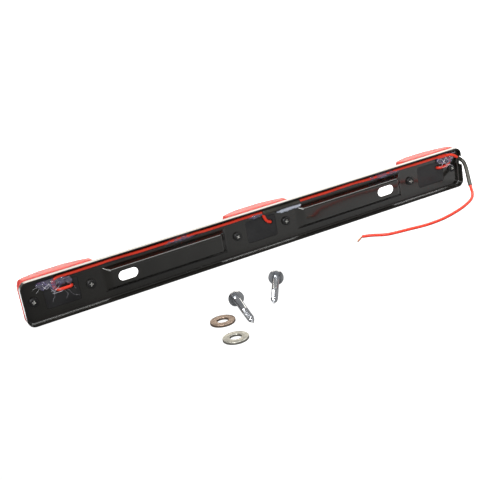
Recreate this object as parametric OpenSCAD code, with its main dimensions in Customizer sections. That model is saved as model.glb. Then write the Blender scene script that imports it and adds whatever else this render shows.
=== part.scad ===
// Three-lamp identification light bar: a pressed steel tray that carries three
// arched red lamps, wired along its back. X runs along the bar, +Y points out
// through the lenses and +Z is up. The origin is the middle of the mounting
// plane, so the back rim and both raised mounting pads lie at Y = 0.

/* [Tray] */
// Length of the bar
bar_len = 360.4; // [350:0.1:440]
// Height of the bar
bar_h = 31.75; // [31:0.25:40]
// Depth of the tray, from its back rim to its front face
tray_depth = 5.6; // [5.2:0.1:7]
// Thickness of the steel sheet
sheet = 0.9; // [0.7:0.1:1.1]
// Plan radius of the tray's corners
corner_r = 5.5; // [4.5:0.5:7]
// Inside radius of the bend between floor and wall
bend_r = 1.1; // [0.8:0.1:1.4]

/* [Mounting pads] */
// Length of the flat face of a pad
pad_len = 84; // [70:1:90]
// Height of the flat face of a pad
pad_h = 12.2; // [11.5:0.1:14]
// Run of the slope at each end of a pad
pad_end_run = 4.6; // [3:0.2:6]
// Run of the slope along each long side of a pad
pad_side_run = 2.4; // [1.5:0.1:2.6]
// Length of a mounting slot
slot_len = 14.2; // [10:0.2:18]
// Width of a mounting slot
slot_w = 7; // [5:0.5:8]
// Distance from a slot's middle to the outer edge of its pad
slot_inset = 11.85; // [11:0.05:16]

/* [Lamps] */
// Length of a lens
lens_len = 55.6; // [54:0.2:60]
// Height of a lens above the tray
lens_rise = 19.8; // [16:0.2:24]
// Height of the upright edge around a lens
lens_edge = 4; // [3.5:0.1:6]
// Lean of the long sides of a lens, measured at its crown
lens_lean = 3; // [1.5:0.5:4]
// Wall of a lens
lens_wall = 2; // [1.5:0.1:2.4]
// Thickness of the plate behind a lamp
base_t = 2; // [1.5:0.1:2.6]
// Length of the block on a lamp's back, seen in its window
block_len = 24; // [20:0.5:26]
// Height of the block on a lamp's back
block_h = 16; // [13:0.5:18]
// Distance from a lamp's middle to each of its screws
screw_x = 20.2; // [20:0.1:22]
// Place of the wire hole along a lamp
wire_hole_x = 7.5; // [5:0.5:9]
// Place of the wire hole above a lamp's middle
wire_hole_z = 3.2; // [2:0.2:5]

/* [Circuit] */
// Length of a circuit board
board_len = 33; // [30:0.5:33.5]
// Height of a circuit board
board_h = 20; // [18:0.5:22]
// Thickness of a circuit board
board_t = 1.6; // [1:0.1:2]
// Height of the posts under a circuit board
post_h = 2.4; // [2:0.1:3.5]
// Distance between the light-emitting diodes
led_pitch = 10.5; // [9:0.5:11]

/* [Fasteners] */
// Thread diameter of a lamp screw
screw_d = 2.9; // [2.5:0.1:3.1]
// Length of a lamp screw under its head
screw_len = 9.5; // [8:0.5:11]
// Head diameter of a lamp screw
screw_head_d = 6.4; // [5.6:0.1:6.8]
// Length of a mounting screw under its head
wood_len = 35; // [25:1:40]
// Shank diameter of a mounting screw
wood_d = 4.6; // [4:0.1:5]
// Head diameter of a mounting screw
wood_head_d = 10.2; // [9.6:0.2:11]
// Outer diameter of a washer
washer_d = 15.9; // [14:0.1:18]
// Hole diameter of a washer
washer_hole = 7.2; // [6:0.1:8]
// Thickness of a washer
washer_t = 1.6; // [1.2:0.1:2]

/* [Wiring] */
// Diameter of the wire over its insulation
wire_d = 2.2; // [1.8:0.1:2.3]
// Distance from the bar's top edge to the middle of the main wire
wire_drop = 3.7; // [3.4:0.1:4.2]
// Width of the exit notch in the right end wall
notch_w = 6.6; // [5:0.2:8]
// Height of the middle of the exit notch
notch_z = 5; // [3:0.5:6]

/* [Hidden] */
$fn = 48;
gap = 0.15;                                  // clearance between fitted pieces
cut = 1;                                     // how far a cutting tool overruns
floor_y = tray_depth - sheet;                // back face of the tray's floor
pad_x = (bar_len - lens_len) / 4;            // middle of a pad
pad_rise = floor_y;                          // the pads come up to the rim plane
slot_x = pad_x + pad_len / 2 - slot_inset;   // middle of a slot
lamp_x = (bar_len - lens_len) / 2;           // middle of an end lamp
lamp_name = ["left", "centre", "right"];
lamp_places = [-lamp_x, 0, lamp_x];

base_y = tray_depth;                         // back of a lamp's base plate
base_front = base_y + base_t;
board_y = base_front + post_h;               // back of a circuit board
board_front = board_y + board_t;
cavity_len = lens_len - 2 * lens_wall;
cavity_h = bar_h - 2 * lens_wall;
block_proud = 0.05;                          // the block stands proud of the floor
tower_d = 6;                                 // screw towers inside a lens
tower_hole_y = floor_y + screw_len + 1.5;    // bottom of the hole in a tower
contact_t = 0.5;                             // earth contact strip
post_inset = 2;                              // posts from the edges of the board
post_d = 3;

wire_y = floor_y - wire_d / 2 - 0.1;         // wires lie just off the floor
wire_z = bar_h / 2 - wire_drop;
turn_r = (wire_z - wire_hole_z) / 2;         // half turn of a wire at an end lamp
dive_r = 2;                                  // bend of a wire into its lamp
branch_r = 2.6;                              // bend of the centre branch
mouth_d = wire_d + 1.4;                      // the wire hole widens where wires bend in
mouth_shift = 0.45;
splice_x0 = 1.5;
splice_x1 = 32.5;
splice_d = 3.6;
crimp_len = 7;
crimp_d = 4.2;
crimp_y = floor_y - crimp_d / 2 - 2 * gap;
left_turn_x = -lamp_x - 0.6;                 // middles of the two end turns
right_turn_x = bar_len / 2 - 13.8;
crimp_x = right_turn_x - crimp_len;
head_h = 2;
wood_head_h = 3.4;
wood_core_d = 3.1;
wood_thread_len = 16;
wood_point = 6;
wood_ridge = 1.8;                            // one turn of thread
floor_z = -bar_h / 2;                        // the surface that the bar stands on
sleeve_wall = 0.45;
strand_len = 8.6;
strand_d = 1.3;

// Route of the supply lead: from the crimp, out through the notch, down to the
// surface and back along the bar. X counts from the bar's right end, Y is for a crimp
// at route_y, and the last value is the height above the surface of a bar route_h high.
route_y = 2.3;
route_h = 31.75;
lead_route = [
    [-13.8, 1.25, 28], [-9.7, 1.25, 27.7], [-6.2, 1.3, 26], [-3.2, 1.4, 23.9],
    [-0.5, 1.1, 21.6], [0.9, -1.2, 18.8], [0.3, -4.2, 14.4], [-1.4, -7.6, 10.2],
    [-3.2, -10.8, 6.6], [-5, -14.2, 3.6], [-7.3, -18, 1.7], [-10.4, -22.8, 1.1],
    [-19.2, -32.7, 1.1], [-30.2, -40.5, 1.1], [-44.7, -47.3, 1.1], [-62.2, -52.5, 1.1],
    [-77.2, -53.2, 1.1], [-90.2, -50.6, 1.1], [-103.2, -47.8, 1.1], [-109.2, -45, 1.1],
    [-115.2, -39, 1.1], [-121.2, -35.2, 1.1]];
lead_steps = 3;                              // rings for each stretch of the route
lead_sides = 8;
sleeve_from = 3;                             // route points that the sleeve covers
sleeve_to = 9;
strand_turn = 215;                           // heading of the bare strands

// Loose hardware on the surface: [x, y, heading of the point]
wood_places = [[-28, -64, 238], [-63, -75, 260]];
washer_places = [[-81, -90], [-86, -118]];

// ---------------------------------------------------------------- helpers

// Draws its 2D shape in the X-Z plane and extrudes it from y0 to y1
module along_y(y0, y1) {
    translate([0, y1, 0])
        rotate([90, 0, 0])
            linear_extrude(y1 - y0)
                children();
}

// Draws its 2D shape in the Y-Z plane and extrudes it over the length, centred
module along_x(length) {
    translate([-length / 2, 0, 0])
        rotate([90, 0, 90])
            linear_extrude(length)
                children();
}

// Round bar along Y
module y_rod(d, y0, y1) {
    along_y(y0, y1)
        circle(d = d);
}

module rounded_rectangle(w, h, r) {
    square([w - 2 * r, h], center = true);
    square([w, h - 2 * r], center = true);
    for (x = [-1, 1], z = [-1, 1])
        translate([x * (w / 2 - r), z * (h / 2 - r)])
            circle(r);
}

// ------------------------------------------------------------------- tray

// Block from the rim to height d with one rounded edge at [w, d]
module rounded_edge_block(w, d, r, below) {
    translate([0, -below])
        square([w - r, d + below]);
    translate([0, -below])
        square([w, d - r + below]);
    translate([w - r, d - r])
        circle(r);
}

// Section of the tray's edge: a strip of floor, the bend and the wall
module edge_section() {
    difference() {
        rounded_edge_block(corner_r, tray_depth, bend_r + sheet, 0);
        rounded_edge_block(corner_r - sheet, tray_depth - sheet, bend_r, cut);
    }
}

// The plain tray, before its pads and holes are made
module pan() {
    half_l = bar_len / 2 - corner_r;
    half_h = bar_h / 2 - corner_r;
    rotate([-90, 0, 0]) {
        translate([-half_l, -half_h, tray_depth - sheet])
            cube([2 * half_l, 2 * half_h, sheet]);
        for (turn = [0, 180])
            rotate([0, 0, turn]) {
                translate([0, half_h, 0])
                    along_x(2 * half_l)
                        edge_section();
                translate([half_l, half_h, 0])
                    rotate_extrude(angle = 90)
                        edge_section();
                translate([half_l, half_h, 0])
                    rotate([90, 0, 0])
                        linear_extrude(2 * half_h)
                            edge_section();
                translate([half_l, -half_h, 0])
                    rotate([0, 0, -90])
                        rotate_extrude(angle = 90)
                            edge_section();
            }
    }
}

// Half width of a sloping block at depth y
function slope_x(half, run, y, shift) = half + run * y / pad_rise - shift;

// How far a sloping sheet's inner face sits inside its outer face
function slope_shift(run) = sheet * norm([run, pad_rise]) / pad_rise;

module slope_section(half, run, y0, y1, shift) {
    near = slope_x(half, run, y0, shift);
    far = slope_x(half, run, y1, shift);
    polygon([[-far, y1], [-near, y0], [near, y0], [far, y1]]);
}

// Block with four sloping sides: a pad's outside, or its inside when inner is 1
module pad_block(inner) {
    y0 = inner * sheet;
    y1 = floor_y + sheet / 2 + inner * (sheet / 2 + cut);
    intersection() {
        linear_extrude(2 * bar_h, center = true)
            slope_section(pad_len / 2, pad_end_run, y0, y1, inner * slope_shift(pad_end_run));
        along_x(2 * pad_len)
            mirror([1, -1])
                slope_section(pad_h / 2, pad_side_run, y0, y1, inner * slope_shift(pad_side_run));
    }
}

module slot_hole() {
    for (x = [-1, 1])
        translate([x * (slot_len - slot_w) / 2, 0, 0])
            y_rod(slot_w, -cut, sheet + cut);
    along_y(-cut, sheet + cut)
        square([slot_len - slot_w, slot_w], center = true);
}

module lamp_openings() {
    along_y(floor_y - cut, tray_depth + cut)
        rounded_rectangle(block_len + 2 * gap, block_h + 2 * gap, 1.5 + gap);
    for (x = [-1, 1])
        translate([x * screw_x, 0, 0])
            y_rod(screw_d + 2 * gap, floor_y - cut, tray_depth + cut);
}

// Round-bottomed notch in the right end wall, open at the rim
module exit_notch() {
    depth = floor_y - bend_r - 0.2;
    translate([bar_len / 2 - 2 * sheet, 0, notch_z])
        rotate([0, 90, 0]) {
            translate([-notch_w / 2, -cut, 0])
                cube([notch_w, depth + cut - 1, 3 * sheet]);
            translate([-notch_w / 2 + 1, -cut, 0])
                cube([notch_w - 2, depth + cut, 3 * sheet]);
            for (z = [-1, 1])
                translate([z * (notch_w / 2 - 1), depth - 1, 0])
                    cylinder(r = 1, h = 3 * sheet);
        }
}

module tray() {
    color([0.06, 0.06, 0.065])
        difference() {
            union() {
                pan();
                for (x = [-pad_x, pad_x])
                    translate([x, 0, 0])
                        pad_block(0);
            }
            for (x = [-pad_x, pad_x])
                translate([x, 0, 0])
                    pad_block(1);
            for (x = [-slot_x, slot_x])
                translate([x, 0, 0])
                    slot_hole();
            for (x = lamp_places)
                translate([x, 0, 0])
                    lamp_openings();
            exit_notch();
        }
}

// ------------------------------------------------------------------ lamps

// Arched outline of a lens, less an inset; it overruns the ends, and its back by below
module arch_section(inset, below) {
    half = lens_len / 2;
    sag = lens_rise - lens_edge;
    r = (half * half + sag * sag) / (2 * sag);
    intersection() {
        translate([0, base_y + lens_rise - r])
            circle(r - inset, $fn = 96);
        translate([-half - cut, base_y - below])
            square([2 * (half + cut), lens_rise + 2 * cut]);
    }
}

// End outline of a lens: upright edge, then sides that lean in to the crown
module lean_section(inset) {
    half = bar_h / 2 - inset;
    top = base_y + lens_rise - inset;
    crown = half - lens_lean;
    polygon([
        [base_y - cut, -half], [base_y + lens_edge, -half], [top - 2, -crown],
        [top, 2 - crown], [top, crown - 2],
        [top - 2, crown], [base_y + lens_edge, half], [base_y - cut, half]]);
}

// Outer body of a lens, or its cavity when inset is the wall
module lens_body(inset, below) {
    intersection() {
        along_y(base_y - below, base_y + lens_rise + cut)
            rounded_rectangle(lens_len - 2 * inset, bar_h - 2 * inset, corner_r - inset);
        linear_extrude(2 * bar_h, center = true)
            arch_section(inset, below);
        along_x(lens_len + 2 * cut)
            lean_section(inset);
    }
}

// Red lens shell with the two towers that its screws bite into
module lens() {
    color([0.8, 0.06, 0.05])
        difference() {
            union() {
                difference() {
                    lens_body(0, 0);
                    lens_body(lens_wall, cut);
                }
                intersection() {
                    lens_body(0, 0);
                    for (x = [-1, 1])
                        translate([x * screw_x, 0, 0])
                            y_rod(tower_d, base_front + contact_t, base_y + lens_rise);
                }
            }
            for (x = [-1, 1])
                translate([x * screw_x, 0, 0])
                    y_rod(screw_d + 0.1, base_y, tower_hole_y);
        }
}

// Black plate that closes a lamp, with the block that fills the tray's window
module lamp_base() {
    color([0.1, 0.1, 0.1])
        difference() {
            union() {
                along_y(base_y, base_front)
                    rounded_rectangle(cavity_len - 2 * gap, cavity_h - 2 * gap,
                                      corner_r - lens_wall - gap);
                along_y(floor_y - block_proud, base_y + base_t / 2)
                    rounded_rectangle(block_len, block_h, 1.5);
                for (x = [-1, 1], z = [-1, 1])
                    translate([x * (board_len / 2 - post_inset), 0, z * (board_h / 2 - post_inset)])
                        y_rod(post_d, base_y + base_t / 2, board_y);
            }
            for (x = [-1, 1])
                translate([x * screw_x, 0, 0])
                    y_rod(screw_d + 2 * gap, base_y - cut, base_front + cut);
            translate([wire_hole_x, 0, wire_hole_z]) {
                y_rod(wire_d + 0.1, floor_y - cut, base_front + cut);
                for (x = [-mouth_shift, mouth_shift])
                    translate([x, 0, 0])
                        y_rod(mouth_d, floor_y - cut, wire_y + dive_r);
            }
        }
}

module circuit_board() {
    color([0.1, 0.35, 0.2])
        along_y(board_y, board_front)
            rounded_rectangle(board_len, board_h, 1);
}

// Three square-bodied light-emitting diodes with round domes
module leds() {
    color([0.9, 0.85, 0.8])
        for (x = [-1, 0, 1])
            translate([x * led_pitch, 0, 2]) {
                along_y(board_front, board_front + 2.6)
                    rounded_rectangle(7.6, 7.6, 0.6);
                y_rod(4.6, board_front + 2, board_front + 3.8);
            }
}

module resistor() {
    color([0.75, 0.65, 0.45])
        translate([-7, board_front + 1.25, -board_h / 2 + 3])
            rotate([0, 90, 0])
                cylinder(d = 2.4, h = 6.3, center = true);
}

module diode() {
    color([0.12, 0.12, 0.12])
        translate([7, board_front + 1.35, -board_h / 2 + 3])
            rotate([0, 90, 0])
                cylinder(d = 2.6, h = 5.2, center = true);
}

// Tinned strip from the board to one screw, which earths the lamp on the tray
module earth_contact() {
    arm_x = board_len / 2 - 3.4;
    color([0.75, 0.72, 0.65])
        difference() {
            union() {
                translate([screw_x, 0, 0])
                    y_rod(tower_d + 0.6, base_front, base_front + contact_t);
                translate([arm_x, base_front, -1.5])
                    cube([screw_x - arm_x, contact_t, 3]);
                translate([arm_x, base_front, -1.5])
                    cube([contact_t, board_y - base_front, 3]);
            }
            translate([screw_x, 0, 0])
                y_rod(screw_d + 0.1, base_front - cut, base_front + contact_t + cut);
        }
}

// Cross recess for a screw head that faces -Z, cut from its top
module cross_recess(size, deep) {
    for (turn = [0, 90])
        rotate([0, 0, turn])
            translate([-size / 2, -size * 0.13, -cut])
                cube([size, size * 0.26, deep + cut]);
}

// Domed head: flat face at z = h, domed top towards z = 0
module pan_head(d, h) {
    r = (d * d / 4 + h * h) / (2 * h);
    intersection() {
        translate([0, 0, r])
            sphere(r, $fn = 64);
        cylinder(d = d, h = h);
    }
}

// The two screws of one lamp
module lamp_screws() {
    color([0.3, 0.3, 0.31])
        for (x = [-1, 1])
            translate([x * screw_x, floor_y - head_h, 0])
                rotate([-90, 0, 0])
                    difference() {
                        union() {
                            pan_head(screw_head_d, head_h);
                            cylinder(d = screw_d, h = head_h + screw_len - 2);
                            translate([0, 0, head_h + screw_len - 2])
                                cylinder(d1 = screw_d, d2 = 0.6, h = 2);
                        }
                        cross_recess(screw_head_d * 0.6, 1.3);
                    }
}

module at_lamp(k) {
    translate([lamp_places[k], 0, 0])
        children();
}

// ----------------------------------------------------------------- wiring

module red_wire() {
    color([0.85, 0.12, 0.1])
        children();
}

// Straight wire along X at height z
module x_wire(x0, x1, z) {
    translate([x0, wire_y, z])
        rotate([0, 90, 0])
            cylinder(d = wire_d, h = x1 - x0);
}

// Half turn from the main run down to the lamp's hole; side 1 turns at its left
module half_turn(x, side) {
    translate([x, wire_y, wire_z - turn_r])
        rotate([90, 0, 0])
            rotate([0, 0, 90 * side])
                rotate_extrude(angle = 180)
                    translate([turn_r, 0])
                        circle(d = wire_d);
}

// Bend from a run along X into the lamp's hole at x, then on to its board
module dive(x, side) {
    translate([x - side * dive_r, wire_y + dive_r, wire_hole_z])
        rotate([0, 0, side > 0 ? -90 : 180])
            rotate_extrude(angle = 90)
                translate([dive_r, 0])
                    circle(d = wire_d);
    translate([x, 0, wire_hole_z])
        y_rod(wire_d, wire_y + dive_r, board_y);
}

// From the splice to the left lamp: a long run, a half turn and the lamp's hole
module wire_left() {
    hole = wire_hole_x - lamp_x;
    red_wire() {
        x_wire(left_turn_x, splice_x0, wire_z);
        half_turn(left_turn_x, 1);
        x_wire(left_turn_x, hole - dive_r, wire_hole_z);
        dive(hole, 1);
    }
}

// From the splice down to the centre lamp
module wire_centre_branch() {
    x0 = wire_hole_x - dive_r - branch_r - 0.2;
    top = wire_z - crimp_d / 2 + 0.3;
    red_wire() {
        translate([x0, wire_y, wire_hole_z + branch_r])
            cylinder(d = wire_d, h = top - wire_hole_z - branch_r);
        translate([x0 + branch_r, wire_y, wire_hole_z + branch_r])
            rotate([90, 0, 0])
                rotate([0, 0, 180])
                    rotate_extrude(angle = 90)
                        translate([branch_r, 0])
                            circle(d = wire_d);
        x_wire(x0 + branch_r, wire_hole_x - dive_r, wire_hole_z);
        dive(wire_hole_x, 1);
    }
}

// From the splice to the crimp at the right end
module wire_right() {
    red_wire()
        x_wire(splice_x1, crimp_x, wire_z);
}

// From the crimp back to the right lamp
module wire_right_branch() {
    hole = lamp_x + wire_hole_x;
    red_wire() {
        half_turn(right_turn_x, -1);
        x_wire(hole + dive_r, right_turn_x, wire_hole_z);
        dive(hole, -1);
    }
}

// Shrink sleeve over the middle splice, wider where two wires enter it
module splice_sleeve() {
    wide = 12;
    taper = 4;
    color([0.1, 0.1, 0.1])
        translate([splice_x0, crimp_y, wire_z])
            rotate([0, 90, 0]) {
                cylinder(d = crimp_d, h = wide);
                translate([0, 0, wide])
                    cylinder(d1 = crimp_d, d2 = splice_d, h = taper);
                translate([0, 0, wide + taper])
                    cylinder(d = splice_d, h = splice_x1 - splice_x0 - wide - taper);
            }
}

// Crimp that joins the supply lead to the main run and the right branch
module end_crimp() {
    color([0.12, 0.12, 0.12])
        translate([crimp_x, crimp_y, wire_z])
            rotate([0, 90, 0])
                cylinder(d = crimp_d, h = crimp_len);
}

// ------------------------------------------------------------------- glue

// Half outline of a bead with round ends, for turning about its length
module bead_section(half, r) {
    intersection() {
        union() {
            square([2 * r, 2 * (half - r)], center = true);
            for (y = [-1, 1])
                translate([0, y * (half - r)])
                    circle(r);
        }
        translate([0, -half])
            square([r, 2 * half]);
    }
}

// Bead of clear hot-melt glue along X, with everything it wraps cut out of it
module glue_bead(x0, x1, r, z, front = 0.6) {
    room_z = bar_h / 2 - sheet - bend_r;
    color([0.55, 0.55, 0.6])
        difference() {
            translate([(x0 + x1) / 2, wire_y, z])
                rotate([0, 90, 0])
                    rotate_extrude()
                        bead_section((x1 - x0) / 2, r);
            translate([x0 - cut, floor_y, z - bar_h])
                cube([x1 - x0 + 2 * cut, 2 * r, 2 * bar_h]);
            translate([x0 - cut, front - 2 * r, z - bar_h])
                cube([x1 - x0 + 2 * cut, 2 * r, 2 * bar_h]);
            translate([x0 - cut, wire_y - 2 * r, room_z])
                cube([x1 - x0 + 2 * cut, 4 * r, 2 * r]);
            children();
        }
}

// What a lamp shows inside the tray: its block and the two screw heads
module lamp_back() {
    along_y(floor_y - block_proud - gap, floor_y + cut)
        square([block_len + gap, block_h + gap], center = true);
}

module glue_left_lamp() {
    glue_bead(-lamp_x - 16.4, -lamp_x + 9, 3.4, wire_z - 3) {
        wire_left();
        at_lamp(0)
            lamp_back();
    }
}

module glue_left_pad() {
    glue_bead(-pad_x - 1.3, -pad_x + 25.5, 1.9, wire_z - 0.4) {
        wire_left();
        translate([-pad_x, 0, 0])
            pad_block(0);
    }
}

module glue_centre() {
    glue_bead(splice_x0 - 10, splice_x0, 1.7, wire_z - 1.4) {
        wire_left();
        lamp_back();
    }
}

// Bead that runs from the splice sleeve on to the end of the right pad
module glue_centre_leaf() {
    r = 1.4;
    glue_bead(14, pad_x - pad_len / 2 - pad_end_run - gap, r, wire_z - splice_d / 2 - r - 0.1);
}

module glue_right_pad() {
    glue_bead(pad_x + 19.5, pad_x + 46, 1.9, wire_z - 0.3) {
        wire_right();
        translate([pad_x, 0, 0])
            pad_block(0);
    }
}

module glue_right_lamp() {
    front = wire_y - wire_d / 2 + 0.05;
    glue_bead(crimp_x, right_turn_x + 9, 3.6, wire_z - 3.2, front) {
        wire_right_branch();
        wire_right();
        end_crimp();
        at_lamp(2)
            lamp_back();
    }
}

// ------------------------------------------------------------ supply lead

// Place of a route point in the frame, never lower than lying on the surface
function on_surface(p) = [
    bar_len / 2 + p.x,
    p.y + crimp_y - route_y,
    max(p.z * bar_h / route_h, wire_d / 2) + floor_z];

// Point at t, from 0 to 1, on the smooth curve between points b and c
function blend(a, b, c, d, t) = b + t / 2 * (
    (c - a) + t * ((2 * a - 5 * b + 4 * c - d) + t * (3 * b - a - 3 * c + d)));

function route_point(route, i, t) = blend(
    route[max(i - 1, 0)], route[i], route[i + 1], route[min(i + 2, len(route) - 1)], t);

// Smooth run of points from route point first to route point last
function smooth_run(route, first, last) = [
    for (i = [first : last - 1], k = [0 : lead_steps - 1])
        on_surface(route_point(route, i, k / lead_steps)),
    on_surface(route[last])];

function unit(v) = v / norm(v);

function headings(run) = [
    for (i = [0 : len(run) - 1])
        unit(run[min(i + 1, len(run) - 1)] - run[max(i - 1, 0)])];

// The part of v that is square to heading h
function square_to(v, h) = unit(v - (v * h) * h);

// Ring of points of radius r round each point of a run
function ring(p, h, side, r) = [
    for (k = [0 : lead_sides - 1])
        p + r * (cos(360 * k / lead_sides) * side + sin(360 * k / lead_sides) * cross(h, side))];

function side_vectors(hs) = [
    for (i = 0, side = square_to([0, -1, 0], hs[0]); i < len(hs);
         i = i + 1, side = i < len(hs) ? square_to(side, hs[i]) : side)
        side];

function rings(run, r) = [
    let (hs = headings(run), sides = side_vectors(hs))
        for (i = [0 : len(run) - 1])
            each ring(run[i], hs[i], sides[i], r)];

// Faces that join ring a to ring b, counted from the first point of each
function band(a, b) = [
    for (k = [0 : lead_sides - 1])
        [a + k, a + (k + 1) % lead_sides, b + (k + 1) % lead_sides, b + k]];

module solid_tube(run, r) {
    last = lead_sides * (len(run) - 1);
    polyhedron(
        rings(run, r),
        concat(
            [[for (k = [0 : lead_sides - 1]) k]],
            [for (i = [0 : len(run) - 2]) each band(lead_sides * (i + 1), lead_sides * i)],
            [[for (k = [lead_sides - 1 : -1 : 0]) last + k]]));
}

module open_tube(run, r_in, r_out) {
    count = lead_sides * len(run);
    last = count - lead_sides;
    polyhedron(
        concat(rings(run, r_out), rings(run, r_in)),
        concat(
            band(0, count),
            [for (i = [0 : len(run) - 2]) each band(lead_sides * (i + 1), lead_sides * i)],
            [for (i = [0 : len(run) - 2])
                each band(count + lead_sides * i, count + lead_sides * (i + 1))],
            band(count + last, last)));
}

module lead() {
    red_wire()
        solid_tube(smooth_run(lead_route, 0, len(lead_route) - 1), wire_d / 2);
}

module lead_sleeve() {
    r_in = wire_d / 2 + 0.05;
    color([0.1, 0.1, 0.1])
        open_tube(smooth_run(lead_route, sleeve_from, sleeve_to), r_in, r_in + sleeve_wall);
}

// Stripped copper strands at the free end of the lead
module lead_strands() {
    end = on_surface(lead_route[len(lead_route) - 1]);
    color([0.8, 0.6, 0.45])
        translate(end)
            rotate([0, 90, strand_turn])
                cylinder(d = strand_d, h = strand_len);
}

// -------------------------------------------------------- loose hardware

// Radius of the thread's root or crest at distance z from the head
function thread_r(r, z) = z < wood_len - wood_point
    ? r
    : max(0.25, r * (wood_len - z) / wood_point);

// Outline of shank, thread and point
function wood_outline() = concat(
    [[0, -1], [wood_d / 2, -1], [wood_d / 2, wood_len - wood_thread_len]],
    [for (z = [wood_len - wood_thread_len : wood_ridge : wood_len - wood_ridge])
        each [
            [thread_r(wood_core_d / 2, z + 0.1), z + 0.1],
            [thread_r(wood_d / 2, z + wood_ridge / 2), z + wood_ridge / 2]]],
    [[0, wood_len]]);

// Wood screw lying on the surface on the rim of its head and its thread
module wood_screw(place) {
    head_r = wood_head_d / 2;
    tilt = atan((head_r - wood_d / 2) / (wood_len - wood_point));
    color([0.72, 0.72, 0.74])
        translate([place.x, place.y, floor_z + head_r * cos(tilt)])
            rotate([0, 90 + tilt, place.z])
                difference() {
                    union() {
                        translate([0, 0, -wood_head_h])
                            pan_head(wood_head_d, wood_head_h);
                        rotate_extrude()
                            polygon(wood_outline());
                    }
                    translate([0, 0, -wood_head_h])
                        cross_recess(wood_head_d * 0.55, 2);
                }
}

module washer(place) {
    color([0.7, 0.65, 0.6])
        translate([place.x, place.y, floor_z])
            difference() {
                cylinder(d = washer_d, h = washer_t);
                translate([0, 0, -cut])
                    cylinder(d = washer_hole, h = washer_t + 2 * cut);
            }
}

// ----------------------------------------------------------------- output

tray();
for (k = [0 : 2]) {
    at_lamp(k) lens();
    at_lamp(k) lamp_base();
    at_lamp(k) circuit_board();
    at_lamp(k) leds();
    at_lamp(k) resistor();
    at_lamp(k) diode();
    at_lamp(k) earth_contact();
    at_lamp(k) lamp_screws();
}
wire_left();
wire_centre_branch();
wire_right();
wire_right_branch();
splice_sleeve();
end_crimp();
glue_left_lamp();
glue_left_pad();
glue_centre();
glue_centre_leaf();
glue_right_pad();
glue_right_lamp();
lead();
lead_sleeve();
lead_strands();
wood_screw(wood_places[0]);  // mounting_screw_a
wood_screw(wood_places[1]);  // mounting_screw_b
washer(washer_places[0]);  // washer_a
washer(washer_places[1]);  // washer_b
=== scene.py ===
# %% [markdown]
# # Three-lamp identification light bar
# A pressed steel tray, painted gloss black, carries three arched red lamps. It is seen
# from its back: red wire runs along the inside of the top wall, held by beads of
# hot-melt glue, and the supply lead leaves at the right end. The CAD frame gives every
# size and place, so each piece here is modelled where the frame says it is.

import math
import random

import bmesh
import bpy
from mathutils import Matrix, Vector


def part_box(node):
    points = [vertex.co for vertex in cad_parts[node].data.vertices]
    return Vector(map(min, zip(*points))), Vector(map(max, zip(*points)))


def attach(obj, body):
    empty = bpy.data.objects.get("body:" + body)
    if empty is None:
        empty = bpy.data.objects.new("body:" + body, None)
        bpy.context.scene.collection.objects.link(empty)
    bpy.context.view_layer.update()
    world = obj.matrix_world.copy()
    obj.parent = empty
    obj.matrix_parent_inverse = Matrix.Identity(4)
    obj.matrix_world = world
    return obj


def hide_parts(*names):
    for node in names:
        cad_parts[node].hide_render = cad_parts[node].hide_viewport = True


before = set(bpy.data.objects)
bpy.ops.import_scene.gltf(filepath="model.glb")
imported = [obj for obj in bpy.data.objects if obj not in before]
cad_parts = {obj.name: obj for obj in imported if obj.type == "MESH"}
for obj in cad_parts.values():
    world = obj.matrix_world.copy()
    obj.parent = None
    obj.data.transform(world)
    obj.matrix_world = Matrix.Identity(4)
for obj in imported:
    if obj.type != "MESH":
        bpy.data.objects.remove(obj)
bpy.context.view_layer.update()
MM = 0.001
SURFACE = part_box("tray")[0].z

# %% [markdown]
# ## Camera
# The camera looks down on the bar's back from its left end. Its direction is given by a
# heading, a dip below level and a roll, because those are what a tripod head sets.

# %% Camera
HEADING = 23.81
DIP = 18.83
ROLL = -9.86
bpy.ops.object.camera_add(location=(-0.2846, -0.5984, 0.2215))
camera = bpy.context.object
turn = (Matrix.Rotation(math.radians(-HEADING), 3, "Z")
        @ Matrix.Rotation(math.radians(90 - DIP), 3, "X")
        @ Matrix.Rotation(math.radians(ROLL), 3, "Z"))
camera.rotation_euler = turn.to_euler()
camera.data.sensor_width = 36
camera.data.lens = 72.58
camera.data.clip_start = 0.01
bpy.context.scene.camera = camera
print("camera right", [round(v, 4) for v in turn.col[0]], "up", [round(v, 4) for v in turn.col[1]])

# %% [markdown]
# ## Working habits
# Every piece is started with nothing selected and ends at the origin with its place in
# its mesh. These helpers keep those two habits, and pick faces, edges or vertices by
# where they are, as a hand would with a box selection.

# %% Helpers for modelling
def start_fresh():
    if bpy.context.object and bpy.context.object.mode != "OBJECT":
        bpy.ops.object.mode_set(mode="OBJECT")
    bpy.ops.object.select_all(action="DESELECT")


def only(piece):
    start_fresh()
    piece.select_set(True)
    bpy.context.view_layer.objects.active = piece
    return piece


def edit():
    bpy.ops.object.mode_set(mode="EDIT")


def leave_edit():
    bpy.ops.object.mode_set(mode="OBJECT")


def pick(kind, test):
    """In edit mode, selects the VERT, EDGE or FACE items that pass the test."""
    bpy.ops.mesh.select_mode(type=kind)
    bpy.ops.mesh.select_all(action="DESELECT")
    mesh = bmesh.from_edit_mesh(bpy.context.object.data)
    mesh.normal_update()
    items = {"VERT": mesh.verts, "EDGE": mesh.edges, "FACE": mesh.faces}[kind]
    for item in items:
        if test(item):
            item.select_set(True)
    mesh.select_flush_mode()
    bmesh.update_edit_mesh(bpy.context.object.data)


def middle(edge):
    return (edge.verts[0].co + edge.verts[1].co) / 2


def settle(piece):
    """Puts the piece's place, turn and size into its mesh."""
    only(piece)
    bpy.ops.object.transform_apply(location=True, rotation=True, scale=True)
    return piece


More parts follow.
